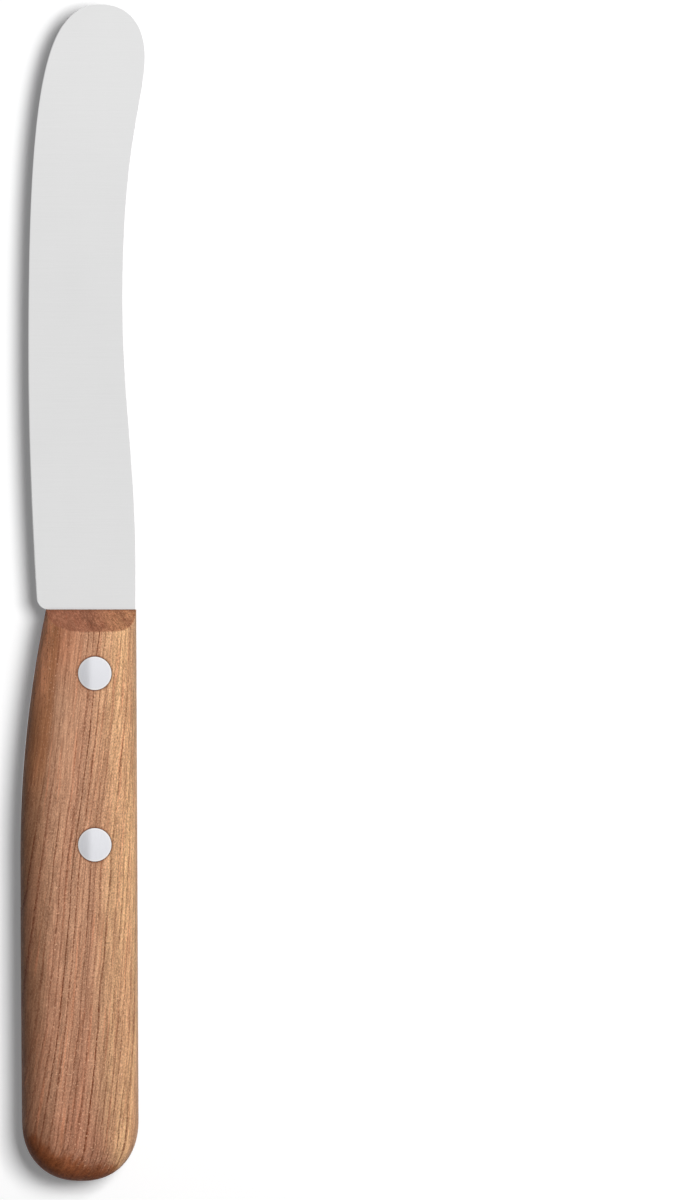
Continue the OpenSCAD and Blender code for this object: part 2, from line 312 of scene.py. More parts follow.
def back_line(s, n=(8, 44, 56, 72)):
    """The blade's back from the handle to the tip: a straight run, a cubic into the waist, a cubic
    up to the hump and a cubic round to the tip, each with the tangent of its neighbour."""
    dip = np.array([-s.waist_dip, s.waist_at])
    hump = np.array([s.hump_rise, s.blade_length - s.hump_from_tip])
    tip = np.array([-s.tip_in, s.blade_length])
    start = np.array([0, s.back_straight])
    up = np.array([0, 1.0])
    run_1, run_2 = dip[1] - start[1], hump[1] - dip[1]
    return np.concatenate(
        [
            start * steps(n[0])[:, None],
            cubic(
                start,
                start + s.back_leave * run_1 * up,
                dip - s.waist_enter * run_1 * up,
                dip,
                steps(n[1]),
            ),
            cubic(
                dip,
                dip + s.waist_leave * run_2 * up,
                hump - s.hump_enter * run_2 * up,
                hump,
                steps(n[2]),
            ),
            cubic(
                hump,
                hump + s.hump_leave * s.hump_from_tip * up,
                tip + [s.tip_back * (s.hump_rise + s.tip_in), 0],
                tip,
                steps(n[3], True),
            ),
        ]
    )


def edge_line(s, n=(24, 40, 116)):
    """The cutting edge from the handle to the tip: a quarter circle at the heel, a parabola out to
    the belly and a cubic round to the tip."""

    def out(y):
        return s.belly_width - (s.belly_width - s.heel_width) * (1 - y / s.belly_at) ** 2

    tip = np.array([-s.tip_in, s.blade_length])
    full = np.array([-s.belly_width, s.belly_at])
    turn = steps(n[0]) * math.pi / 2
    r = s.heel_radius
    heel = np.stack([r - out(r) - r * np.sin(turn), r - r * np.cos(turn)], 1)
    y = r + (s.belly_at - r) * steps(n[1])
    return np.concatenate(
        [
            heel,
            np.stack([-out(y), y], 1),
            cubic(
                full,
                full + [0, s.edge_leave * (s.blade_length - s.belly_at)],
                tip - [s.tip_edge * (s.belly_width - s.tip_in), 0],
                tip,
                steps(n[2], True),
            ),
        ]
    )


def inward(line, turn):
    """Unit vectors square to a line of points, from differences of neighbours; turn is 1 for the
    right-hand side of the line and -1 for the left."""
    along = np.gradient(line, axis=0)
    across = np.stack([along[:, 1], -along[:, 0]], 1) * turn
    return across / np.linalg.norm(across, axis=1)[:, None]


def blade_rings(s):
    """Rings of points round the blade, one for each pair of points on the edge and the back. A ring
    runs along the upper face from the edge over the fine bevel and the flat grind to the softened
    corner of the back, and returns the same way below. The flat grind is one plane on each side:
    its half thickness falls evenly away from the back line and away from the handle."""
    back, edge = back_line(s), edge_line(s)
    rungs = len(back)
    thick = s.stock - s.back_ground
    lengthwise = s.tip_thinned / s.blade_length
    crosswise = (thick - s.behind_edge - lengthwise * s.belly_at) / s.belly_width

    def grind(p):
        return np.maximum(s.edge, thick + crosswise * p[..., 0] - lengthwise * p[..., 1]) / 2

    # The corner of the back fades out over the last rungs before the tip, and the bevel of the edge
    # there and over the first rungs at the heel
    tip_rungs, heel_rungs = 30, 24
    count = np.arange(rungs)[:, None]
    to_tip = np.minimum(1, (rungs - 1 - count) / tip_rungs)
    fade = np.minimum(to_tip, count / heel_rungs)
    into_back, into_edge = inward(back, -1), inward(edge, 1)
    bevel = edge + into_edge * s.edge_bevel * fade
    arris = s.arris * to_tip
    soft = back + into_back * arris
    # Rows this near to both borders keep the shading of the grind flat
    near = 0.00004
    turn = quarter_turn(6)
    beside = bevel + into_edge * near * fade
    flat = [bevel, beside, (bevel + soft) / 2, soft + into_back * near * to_tip]
    corner = [back + into_back * arris * (1 - math.sin(t)) for t in turn]
    edge_z = grind(bevel) + (s.edge / 2 - grind(bevel)) * fade[:, 0]
    corner_z = [grind(soft) - arris[:, 0] * (1 - math.cos(t)) for t in turn]
    plan = np.stack([edge, *flat, *corner], 1)
    z = np.stack([edge_z, *[grind(p) for p in flat], *corner_z], 1)
    return both_faces(plan, z)


def both_faces(plan, z):
    """Closed rings from the plan points and heights of the upper half: there and back below."""
    upper = np.concatenate([plan, z[..., None]], 2)
    lower = upper[:, ::-1] * [1, 1, -1]
    return np.concatenate([upper, lower], 1)


def tang_rings(s, handle, rows=24):
    """Rings round the tang from its end to the handle's front, with as many points as the blade's.
    Its sides follow the handle's two outlines, and its end is an arc of the kerf saw."""
    d = s.tang_length * (1 - steps(rows, True))
    # The tang's sides lie this far under the wood
    sink = 0.00005
    left = handle_back(handle, d) - handle_width(handle, d) + sink
    right = handle_back(handle, d) - sink
    # Its columns lie at these shares of its width
    at = np.concatenate([[0, 0.006, 0.008, 0.5, 0.992], np.linspace(0.994, 1, 6)])
    x = left[:, None] + (right - left)[:, None] * at
    middle = (left[0] + right[0]) / 2
    hollow = s.saw_radius - np.sqrt(s.saw_radius**2 - (x - middle) ** 2)
    y = -d[:, None] * (1 - hollow / s.tang_length)
    turn = quarter_turn(6)
    down = np.concatenate([[1, 0, 0, 0, 0], 1 - np.cos(turn)]) * s.arris / 2
    z = np.broadcast_to(s.stock / 2 - down, x.shape)
    return both_faces(np.stack([x, y], 2), z)


def handle_back(s, d):
    """The handle's back line: straight, leaning out evenly toward the butt."""
    return s.back_step + s.back_lean * d / s.handle_length


def handle_width(s, d):
    """The handle's width before the butt is rounded: a parabola out to the swell and a flatter one on
    to the butt."""
    fore = (s.swell_width - s.front_width) * (1 - d / s.swell_at) ** 2
    aft = (s.swell_width - s.butt_width) * ((d - s.swell_at) / (s.handle_length - s.swell_at)) ** 2
    return s.swell_width - np.where(d < s.swell_at, fore, aft)


def rounded_end(s, d, r, full=2.0):
    """What is left of a size where the last r of the handle is rounded off: the full-th root of one
    less the full-th power of how far into r it is, which for 2 is a quarter ellipse."""
    into = np.clip(d - s.handle_length + r, 0, None) / r
    return np.clip(1 - into**full, 0, None) ** (1 / full)


def fuller(wave, full):
    """A sine or cosine bent so that the curve drawn with it is a superellipse of that fullness."""
    return np.sign(wave) * np.abs(wave) ** (2 / full)


def handle_rings(s, kerf):
    """Rings of points round the handle from the front to the butt. A section is two flats joined by
    half a superellipse along the back and half an ellipse along the belly. Ahead of the ridge each
    column of points runs down the sloping front face, and the ridge between them is rounded by a
    parabola that leaves both lines along their tangents."""
    back_n, belly_n, flat_n = 48, 64, 12
    back_turn = math.pi * (steps(back_n) - 0.5)
    belly_turn = math.pi * (steps(belly_n) + 0.5)
    over = steps(flat_n)
    # Each column's place: the back line's weight, the rest being the belly line's, its own offset from
    # there, and its height
    weight = np.concatenate([np.ones(back_n), 1 - over, np.zeros(belly_n), over])
    offset = np.concatenate(
        [
            -s.back_round * (1 - fuller(np.cos(back_turn), s.back_full)),
            -s.back_round * (1 - over) + s.belly_round * over,
            s.belly_round * (1 + np.cos(belly_turn)),
            s.belly_round * (1 - over) - s.back_round * over,
        ]
    )
    back_rise = fuller(np.sin(back_turn), s.back_full)
    rise = np.concatenate([back_rise, np.ones(flat_n), np.sin(belly_turn), -np.ones(flat_n)])

    def form(d):
        back = handle_back(s, d)
        belly = back - handle_width(s, d)
        middle = (back + belly) / 2
        x = back * weight + belly * (1 - weight) + offset
        x = middle + rounded_end(s, d, s.butt_round, s.butt_full) * (x - middle)
        z = s.thickness / 2 * rounded_end(s, d, s.butt_edge) * rise
        return np.stack([x, -d, z], 2)

    half = s.thickness / 2
    low = kerf / 2 + s.front_land
    ridge = s.front_slope * np.clip((half * np.abs(rise) - low) / (half - low), 0, 1)
    # Sections crowd behind the ridge, follow its bend there and straighten out over the zone
    near = np.array([0, 0.05, 0.12, 0.2, 0.3, 0.42, 0.6, 0.9, 1.4, 2.1, 3.0, 4.0]) / MILLIMETRES
    zone = 0.03
    # Even ones follow as far as the butt, where they crowd again
    even_from, even_n = 0.005, 80
    body_end = s.handle_length - s.butt_round
    along = np.concatenate(
        [
            near,
            np.linspace(even_from, body_end, even_n)[:-1],
            body_end + s.butt_round * np.sin(quarter_turn(49)),
        ]
    )
    d = along[:, None] + ridge * np.clip(1 - along / zone, 0, None)[:, None]
    body = form(d)
    down = np.array([0, 0.25, 0.5, 0.7, 0.82, 0.88, 0.92, 0.95, 0.97, 0.985])[:, None]
    top = body[0]
    foot_z = np.sign(rise) * np.minimum(low, half * np.abs(rise))
    foot = np.stack([top[:, 0], np.zeros(len(rise)), foot_z], 1)
    slope = foot + (top - foot) * down[..., None]
    rings = np.concatenate([slope, body])
    # The rounding of the ridge, which takes up less than half of the slope
    most, never_zero = 0.45, 1e-9
    fall = math.atan2(half - low, s.front_slope)
    run = ridge / math.cos(fall)
    away = np.concatenate([run * (1 - down), d - ridge]) * math.cos(fall / 2)
    reach = np.minimum(s.ridge_soft, most * run) + never_zero
    sink = math.tan(fall / 2) * np.clip(reach - away, 0, None) ** 2 / (2 * reach)
    rings[..., 1] -= sink * math.sin(fall / 2)
    rings[..., 2] -= sink * math.cos(fall / 2) * np.sign(rise)
    return rings


def lathe_rings(profile, middle, around=RIVET_FACETS):
    """A profile of radii and heights carried round an upright axis: radius times cosine and sine."""
    turn = np.linspace(0, 2 * math.pi, around, endpoint=False)
    profile = np.asarray(profile, float)
    r, z = profile[:, :1], profile[:, 1:]
    return np.stack(
        [
            middle[0] + r * np.cos(turn),
            middle[1] + r * np.sin(turn),
            np.broadcast_to(z, (len(profile), around)),
        ],
        2,
    )


def head_profile(s, top):
    """A rivet head's outside from its seat to its middle: an upright wall, a quarter round and a
    crown that falls with the square of the radius."""
    r, edge = s.head / 2, s.head_edge
    rim = top - s.head_crown
    turn = quarter_turn(7)
    wall = np.stack([r - edge + edge * np.cos(turn), rim - edge + edge * np.sin(turn)], 1)
    inner = (r - edge) * np.linspace(1, 0, 20)[1:]
    crown = np.stack([inner, top - s.head_crown * (inner / (r - edge)) ** 2], 1)
    return np.concatenate([[[r, top - s.head_depth]], wall, crown])


def post_rings(s, middle, half):
    """The rivet half with the pin: up the pin from its middle, out under the head and over it."""
    seat = half - s.head_depth
    pin, low, nip = s.pin / 2, s.end_gap - seat, 0.0002
    pin_line = [[0, low], [pin - nip, low], [pin, low + nip], [pin, seat]]
    return lathe_rings(np.concatenate([pin_line, head_profile(s, half)]), middle)


def socket_rings(s, middle, half):
    """The rivet half with the tube, head below: up the bore, over the tube's rim, down its outside, out
    over the head's shoulder and round its face."""
    seat = half - s.head_depth
    bore, tube, top = s.pin / 2 + s.pin_room, s.tube / 2, seat - s.end_gap
    tube_line = [[0, -seat], [bore, -seat], [bore, top], [tube, top], [tube, -seat]]
    head = head_profile(s, half) * [1, -1]
    return lathe_rings(np.concatenate([tube_line, head]), middle)


# Meshes


def link(name, data):
    """A new object in the scene."""
    made = bpy.data.objects.new(name, data)
    bpy.context.scene.collection.objects.link(made)
    return made


def skin(name, rings, caps):
    """A closed mesh through rings of points, in the frame. A ring is joined to the next by quads. An
    end is filled by one face, laced straight across between its two halves, or left because its ring
    is already a point or a folded line."""
    rows, around = rings.shape[:2]
    index = np.arange(rows * around).reshape(rows, around)
    turned = np.roll(index, -1, axis=1)
    quads = np.stack([index[:-1], turned[:-1], turned[1:], index[1:]], -1).reshape(-1, 4)
    faces = quads.tolist()
    for cap, ring in zip(caps, (index[0][::-1], index[-1])):
        if cap == "fill":
            faces.append(ring.tolist())
        if cap == "lace":
            half, other = ring[: around // 2], ring[around // 2 :][::-1]
            faces += np.stack([half[:-1], half[1:], other[1:], other[:-1]], -1).tolist()
    mesh = bpy.data.meshes.new(name)
    mesh.from_pydata((rings.reshape(-1, 3) + DATUM).tolist(), [], faces)
    merge(mesh, SAME_POINT)
    mesh.shade_smooth()
    return link(name, mesh)


def merge(mesh, near):
    """Merges points that lie on each other, drops what collapses and turns all faces outwards."""
    work = bmesh.new()
    work.from_mesh(mesh)
    bmesh.ops.remove_doubles(work, verts=work.verts, dist=near)
    bmesh.ops.dissolve_degenerate(work, edges=work.edges, dist=near / 2)
    bmesh.ops.recalc_face_normals(work, faces=work.faces)
    work.to_mesh(mesh)
    work.free()


def drum(middle, radius, low, high, around=HOLE_FACETS):
    """A plain upright drum for cutting."""
    profile = [[0, low], [radius, low], [radius, high], [0, high]]
    return skin("cutter", lathe_rings(profile, middle, around), ("point", "point"))


def stepped_drum(middle, radius, wide, seat, reach):
    """An upright drum for cutting a rivet's hole with its two seats: narrow between the seats and
    wide from each of them out past the surface."""
    half = np.array([[radius, seat], [wide, seat], [wide, reach], [0, reach]])
    profile = np.concatenate([half[::-1] * [1, -1], half])
    return skin("cutter", lathe_rings(profile, middle, HOLE_FACETS), ("point", "point"))


def cut(piece, cutters):
    """Cuts the cutters out of a piece, one after another, removes them and merges the points that
    the cuts leave on top of each other."""
    for cutter in cutters:
        modifier = piece.modifiers.new("cut", "BOOLEAN")
        modifier.operation = "DIFFERENCE"
        modifier.solver = "EXACT"
        modifier.object = cutter
    bpy.context.view_layer.update()
    whole = piece.evaluated_get(bpy.context.evaluated_depsgraph_get())
    old, new = piece.data, bpy.data.meshes.new_from_object(whole)
    piece.modifiers.clear()
    merge(new, SAME_CUT_POINT)
    piece.data = new
    new.name = piece.name
    bpy.data.meshes.remove(old)
    for cutter in cutters:
        mesh = cutter.data
        bpy.data.objects.remove(cutter)
        bpy.data.meshes.remove(mesh)
    return piece


def fit(piece, node, finish):
    """Gives a piece its finish and its creased edges and puts it in the place of a CAD node."""
    piece.data.set_sharp_from_angle(angle=CREASE)
    piece.data.materials.clear()
    piece.data.materials.append(finish)
    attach(piece, "root")
    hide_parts(node)


def vectors(items, kind):
    """One vector of each vertex, normal or face of a mesh, as rows."""
    values = np.empty(3 * len(items), np.float32)
    items.foreach_get(kind, values)
    return values.reshape(-1, 3)


def note(piece, name, domain, values):
    """Keeps a number on each vertex or face, for the finishes to read."""
    kept = piece.data.attributes.new(name, "FLOAT", domain)
    kept.data.foreach_set("value", np.ascontiguousarray(values, np.float32))


def note_end_grain(piece):
    """Keeps on each vertex how square the surface there is to the grain: the length of its normal
    along the handle."""
    normals = vectors(piece.data.vertex_normals, "vector")
    note(piece, "end_grain", "POINT", np.abs(normals[:, 1]))


def note_sides(piece):
    """Keeps on each face how upright it stands: one less the height of its normal."""
    normals = vectors(piece.data.polygons, "normal")
    note(piece, "side", "FACE", 1 - np.abs(normals[:, 2]))


def note_rim(piece, middle, radius):
    """Keeps on each vertex how far out it lies: its distance from the rivet's axis over the radius."""
    away = vectors(piece.data.vertices, "co")[:, :2] - (DATUM[:2] + middle)
    note(piece, "rim", "POINT", np.linalg.norm(away, axis=1) / radius)


def rivet_middles():
    """The rivets' middles from above, from the CAD nodes, in the knife's datum."""
    boxes = (FRONT_RIVET_BOX, REAR_RIVET_BOX)
    return [((np.array(lo) + np.array(hi)) / 2 - DATUM)[:2] for lo, hi in boxes]


# Finishes


class Value:
    """A number on its way through a node tree. Arithmetic on it adds Math nodes."""

    def __init__(self, tree, socket):
        self.tree = tree
        self.socket = socket

    def math(self, operation, *others):
        """A Math node with this number in its first socket."""
        sockets = dict(enumerate((self, *others)))
        return self.tree.add("ShaderNodeMath", {"operation": operation}, sockets)

    def __add__(self, other):
        return self.math("ADD", other)

    def __sub__(self, other):
        return self.math("SUBTRACT", other)

    def __mul__(self, other):
        return self.math("MULTIPLY", other)

    def __rsub__(self, other):
        return self.tree.add("ShaderNodeMath", {"operation": "SUBTRACT"}, {0: other, 1: self})

    def between(self, low, high, to_low=0.0, to_high=1.0):
        """Eased from to_low to to_high as the number goes from low to high, and held outside."""
        return self.tree.add(
            "ShaderNodeMapRange",
            {"interpolation_type": "SMOOTHSTEP"},
            {0: self, 1: low, 2: high, 3: to_low, 4: to_high},
        )


class Tree:
    """A node tree that is written as expressions."""

    def __init__(self, owner):
        owner.use_nodes = True
        self.nodes = owner.node_tree.nodes
        self.links = owner.node_tree.links
        self.nodes.clear()

    def add(self, kind, settings=None, sockets=None, out=0):
        """Adds a node of a kind, sets its settings and then its sockets, and gives one output."""
        node = self.nodes.new(kind)
        for name, value in (settings or {}).items():
            setattr(node, name, value)
        for name, value in (sockets or {}).items():
            if isinstance(value, Value):
                self.links.new(value.socket, node.inputs[name])
            else:
                node.inputs[name].default_value = value
        return Value(self, node.outputs[out]) if len(node.outputs) else None

    def noted(self, name):
        """A number that is kept on the mesh."""
        return self.add("ShaderNodeAttribute", {"attribute_name": name}, out="Fac")

    def place(self, kind):
        """The three parts of a kind of coordinate, as numbers."""
        where = self.add("ShaderNodeTexCoord", out=kind)
        first = self.add("ShaderNodeSeparateXYZ", None, {0: where})
        return [Value(self, part) for part in first.socket.node.outputs]

    def point(self, x, y, z):
        """A vector from three numbers."""
        return self.add("ShaderNodeCombineXYZ", None, {0: x, 1: y, 2: z})

    def noise(self, at, detail=2.0, roughness=0.5):
        """Smooth noise about 0.5 with features one unit apart."""
        sockets = {"Vector": at, "Scale": 1.0, "Detail": detail, "Roughness": roughness}
        return self.add("ShaderNodeTexNoise", {"noise_dimensions": "3D"}, sockets)

    def mix(self, factor, a, b, blend="MIX"):
        """One colour turned into another."""
        settings = {"data_type": "RGBA", "blend_type": blend}
        a, b = (c if isinstance(c, Value) else (*c, 1.0) for c in (a, b))
        return self.add("ShaderNodeMix", settings, {0: factor, 6: a, 7: b}, 2)

    def bump(self, height, strength, distance):
        """A normal from a height."""
        sockets = {"Strength": strength, "Distance": distance, "Height": height}
        return self.add("ShaderNodeBump", None, sockets)

    def surface(self, **sockets):
        """The material's surface."""
        named = {k.replace("_", " ").title().replace("Ior", "IOR"): v for k, v in sockets.items()}
        shader = self.add("ShaderNodeBsdfPrincipled", None, named)
        self.add("ShaderNodeOutputMaterial", None, {"Surface": shader})


def new_finish(name):
    """A new material and its tree."""
    material = bpy.data.materials.new(name)
    return material, Tree(material)


def toned(colour, tone):
    """A colour made paler or deeper, no brighter than white."""
    return tuple(min(1.0, part * tone) for part in colour)


def ground_steel(s):
    """Satin stainless steel: fine grinding lines across the blade, worn a little, hardly any colour,
    and a painted highlight that makes it a little paler toward the tip. The narrow sides of the back
    and the tang are as the file and the wheel left them, duller, and their colour is darker as painted
    shade."""
    material, t = new_finish("ground_steel")
    x, y, z = (part * MILLIMETRES for part in t.place("Object"))
    lines = t.noise(t.point(x * 0.09, y * 9.0, z * 2.0), 4.0, 0.62)
    clouds = t.noise(t.point(x * 0.08, y * 0.05, z), 2.0)
    # Grinding lines and clouds, and a painted highlight that grows toward the tip
    wear_and_tip_light = (lines - 0.5) * 0.2 + (clouds - 0.5) * 0.14 + y.between(50.0, 112.0, 0.0, 0.10)
    side = t.noted("side").between(0.2, 0.8)
    # The narrow sides take a darker tone as painted shade
    pale, deep, shaded_side = (toned(s.steel, tone) for tone in (1.15, 0.85, 0.48))
    t.surface(
        base_color=t.mix(side, t.mix(wear_and_tip_light * 1.6 + 0.5, deep, pale), shaded_side),
        metallic=1.0,
        roughness=(lines - 0.5) * 0.16 + (clouds - 0.5) * 0.08 + side * 0.12 + 0.34,
        normal=t.bump(lines, 0.06, 0.00002),
    )
    return material


def bright_aluminium(s):
    """Dressed aluminium: fine file and sanding marks along the handle, slightly bluish, and a paler rim
    on each head that is a painted highlight."""
    material, t = new_finish("bright_aluminium")
    x, y, z = (part * MILLIMETRES for part in t.place("Object"))
    lines = t.noise(t.point(x * 12.0, y * 0.5, z * 2.0), 3.0, 0.6)
    pale, deep = (toned(s.metal, tone) for tone in (1.08, 0.92))
    # The rim of each head is painted paler as a highlight
    rim = t.noted("rim").between(0.86, 0.96)
    t.surface(
        base_color=t.mix(rim * 0.5, t.mix(lines, deep, pale), s.rim_highlight),
        metallic=1.0,
        roughness=(lines - 0.5) * 0.05 + 0.10,
        normal=t.bump(lines, 0.05, 0.00001),
    )
    return material


def oiled_wood(s):
    """Oiled fruit wood as a solid block, in millimetres from the middle of the handle. Year rings are
    cones about a pith that lies beside the handle's back and below it: the distance from the pith,
    times a taper along the handle, plus a slow wander. That distance counts the rings, which are
    uneven and lie closest in the middle. Each ends in a thin dark line that is broken into dots and
    is quieter toward the back and on the belly's flank. Fibres, pores, specks and pale flecks follow
    the rings. The wood is browner toward the belly and more tan toward the back, partly its own tone
    and partly painted shade on the belly's side away from the key and painted light on the back's side
    toward it. It is redder in streaks, and a russet zone lies outside one ring along the belly's front.
    A redder zone and a bright strip on the front of the belly's flank are painted light that lifts its
    shade. Cut ends drink more oil, darker and redder, with a ragged border at the butt, and near the
    butt the darkening is shifted toward the belly as painted shade. Thin lines at the blade and around
    the rivets are darkened as painted shade in the joints."""
    material, t = new_finish("oiled_wood")
    middle = DATUM - [0, s.handle_length / 2, 0]
    x, y, z = ((p - float(o)) * MILLIMETRES for p, o in zip(t.place("Object"), middle))
    # How far out in the tree
    pith_aside, pith_below = 19.5, 9.0
    wander = t.noise(t.point(x * 0.08, y * 0.02, z * 0.08), 1.0)
    waver = t.noise(t.point(x * 0.6, y * 0.14, z * 0.6), 2.0)
    aside, above = pith_aside - x, z + pith_below
    ahead = (y - 7.0).math("MAXIMUM", 0.0)
    behind = (-25.0 - y).math("MAXIMUM", 0.0)
    taper = y * 0.0022 + ahead * 0.0009 - behind * 0.0009 + 1.0
    radius = (aside * aside + above * above).math("SQRT") * taper
    radius = radius + (wander - 0.5) * 2.0 + (waver - 0.5) * 0.4
    # Year rings, how far through its ring a place is, and each ring's own strength
    uneven = t.noise(t.point(radius * 0.3, 7.3, 1.7), 1.0)
    ring = radius * 0.6 + radius.between(19.0, 33.0) * 3.2 + radius.between(30.0, 37.0) * 2.2
    spacing = t.noise(t.point(radius * 0.9, 2.9, 5.1), 0.0)
    ring = ring + (uneven - 0.5) * 1.5 + (spacing - 0.5) * 0.7
    part = ring.math("FRACT")
    own = t.add("ShaderNodeTexWhiteNoise", {"noise_dimensions": "1D"}, {"W": ring.math("FLOOR")})
    # The dark line that ends a ring
    line = part.between(0.68, 0.9) * part.between(0.95, 1.0, 1.0, 0.0)
    dots = t.noise(t.point(radius * 4.0, y * 2.0, z * 3.0), 2.0, 0.6)
    broken = t.noise(t.point(radius * 1.2, y * 0.06, z), 2.0)
    line = line * own.between(0.0, 1.0, 0.6, 1.25) * dots.between(0.36, 0.58, 0.35, 1.0)
    line = line * broken.between(0.28, 0.46, 0.55, 1.0) * x.between(-9.0, -4.0, 1.0, 0.6)
    calm = y.between(10.0, 30.0, 0.0, 0.6) * x.between(-13.0, -8.0, 1.0, 0.0)
    line = line * (1 - calm)
    quiet = y.between(-25.0, -12.0, 0.35, 0.0) + y.between(8.0, 16.0, 0.0, 0.5)
    line = line * (1 - quiet * x.between(-20.0, -14.0, 1.0, 0.0))
    line = line * y.between(-15.0, 15.0, 1.0, 1.1)
    # Fine marks
    fibre = t.noise(t.point(radius * 3.0, y * 0.18, z * 1.6), 4.0, 0.6)
    streak = t.noise(t.point(radius * 0.4, y * 0.015, z * 0.3), 2.0)
    speck = t.noise(t.point(radius * 4.5, y * 2.6, z * 4.0), 2.0, 0.6)
    pore = t.noise(t.point(radius * 4.5, y * 1.3, z * 4.0), 1.0).between(0.6, 0.72)
    fleck = t.noise(t.point(radius * 4.0, y * 2.2, z * 4.0), 1.0).between(0.62, 0.74)
    # Cut ends, which reach further along the belly: near the butt their darkening is shifted from the
    # back toward the belly as painted shade on the corner away from the key
    left = -11.0 - x
    ragged = t.noise(t.point(radius * 1.6, y * 0.2, z * 0.4), 2.0) - 0.5
    end = t.noted("end_grain") + ragged * y.between(-40.0, -20.0, 0.7, 0.2)
    end = end + left * y.between(-49.0, -42.0, 0.03, 0.012)
    end = end + left.math("MAXIMUM", 0.0) * y.between(-49.0, -43.0, 0.024, 0.0)
    end = end.between(0.28, 0.56) * 0.6 + end.between(0.1, 0.9) * 0.4
    # Colours from the belly to the back: browner on the belly and tan toward the back, partly the
    # wood's own tone and partly painted shade on the side away from the key and painted light on the
    # side toward it. Near the butt the brown reaches further in as painted shade, and near the front
    # less far as painted light on the flank.
    inside = x - ahead * ahead * 0.0012
    inside = inside - y.between(-57.0, -37.0, 6.0, 0.0) + y.between(34.0, 50.0, 0.0, 5.0)
    base = t.mix(inside.between(-21.0, -14.5), s.brown, s.pale)
    base = t.mix(x.between(-10.0, -1.0), base, s.tan)
    aft = y.between(-55.0, 0.0, 0.55, 0.0) * x.between(-9.0, -3.0, 1.0, 0.15)
    blush = x.between(-15.0, -11.0) * x.between(-7.0, -3.0, 1.0, 0.0)
    blush = blush * y.between(-50.0, -38.0, 0.5, 0.0)
    base = t.mix(streak.between(0.42, 0.64) * 0.4 + aft + blush, base, s.rosy)
    # Red veins, and the zones along the belly's front. The red zone and the bright strip on the front
    # of the flank are painted light that lifts its shade; the russet zone and its dark seam are the
    # wood's own.
    vein = t.noise(t.point(radius * 2.4, y * 0.06, z * 0.5), 2.0).between(0.56, 0.7) * 0.55
    flank = x - ahead * 0.07
    # Painted light: the front of the belly's flank is made lighter and redder where it faces away from
    # the key
    corner = y.between(36.0, 50.0) * flank.between(-17.0, -11.0, 0.75, 0.0) * (1 - end)
    base = t.mix(vein.math("MAXIMUM", corner), base, s.red)
    russet = radius.between(41.6, 43.0, 0.0, 0.8) * y.between(14.0, 28.0) * (1 - end)
    base = t.mix(russet, base, s.russet)
    seam = radius.between(41.8, 42.7) * radius.between(42.7, 43.6, 1.0, 0.0)
    base = t.mix(seam * y.between(15.0, 45.0, 0.0, 0.2) * (1 - end), base, s.ring)
    # Painted light: a bright strip along the edge of the belly's front flank
    flank_light = y.between(33.0, 46.0) * flank.between(-20.5, -18.3, 1.0, 0.0) * (1 - end)
    base = t.mix(flank_light, base, s.painted_flank_light)
    # The fine marks and ring lines over them
    base = t.mix(fibre.between(0.38, 0.62) * 0.42, base, s.dark)
    base = t.mix(line * (1 - end * 0.7), base, s.ring)
    base = t.mix(pore * (part.between(0.3, 0.9) * 0.4 + 0.2), base, s.pore)
    base = t.mix(fleck * inside.between(-20.0, -14.0, 0.15, 0.6), base, s.fleck)
    speckled = x.between(-20.0, -12.0, 0.3, 0.44) + y.between(-20.0, 20.0, 0.0, 0.12)
    band = t.noise(t.point(radius * 0.55, y * 0.012, z * 0.2), 1.0).between(0.3, 0.7, 0.9, 1.1)
    grey = t.point(*[(speck.between(0.3, 0.7) - 0.5) * speckled * (1 - calm) + band] * 3)
    base = t.mix(1.0, base, grey, "MULTIPLY")
    # Oil in the cut ends, and painted shade along the joints at the blade and around the rivets
    joint_shade = y.between(54.8, 55.2) * 0.5
    for across, along in rivet_middles():
        dx = x - float(across) * MILLIMETRES
        dy = y - float(along + s.handle_length / 2) * MILLIMETRES
        away = (dx * dx + dy * dy).math("SQRT")
        joint_shade = joint_shade.math("MAXIMUM", away.between(3.3, 3.75, 0.5, 0.0))
    drunk = t.mix(y.between(-20.0, 20.0), s.butt_oil, s.front_oil)
    base = t.mix(end, base, drunk, "MULTIPLY")
    base = t.mix(joint_shade, base, s.dark)
    height = fibre * 0.5 - line * 0.4 - pore * 0.8
    t.surface(
        base_color=base,
        roughness=(fibre - 0.5) * 0.18 + end * 0.08 + 0.52,
        specular_ior_level=0.12,
        normal=t.bump(height, 0.25, 0.00006),
    )
    return material


# Operators


class KNIFE_OT_blade(bpy.types.Operator):
    """Make the ground blade with its tang"""

    bl_idname = "knife.blade"
    bl_label = "Make Blade"

    def execute(self, context):
        s, rivets = context.scene.knife_blade, context.scene.knife_rivets
        rings = np.concatenate([tang_rings(s, context.scene.knife_handle), blade_rings(s)])
        blade = skin("ground_blade", rings, ("lace", "point"))
        hole = rivets.tube / 2 + rivets.tube_room
        note_sides(cut(blade, [drum(m, hole, -STEEL_CUT, STEEL_CUT) for m in rivet_middles()]))
        fit(blade, "blade", ground_steel(s))
        return {"FINISHED"}


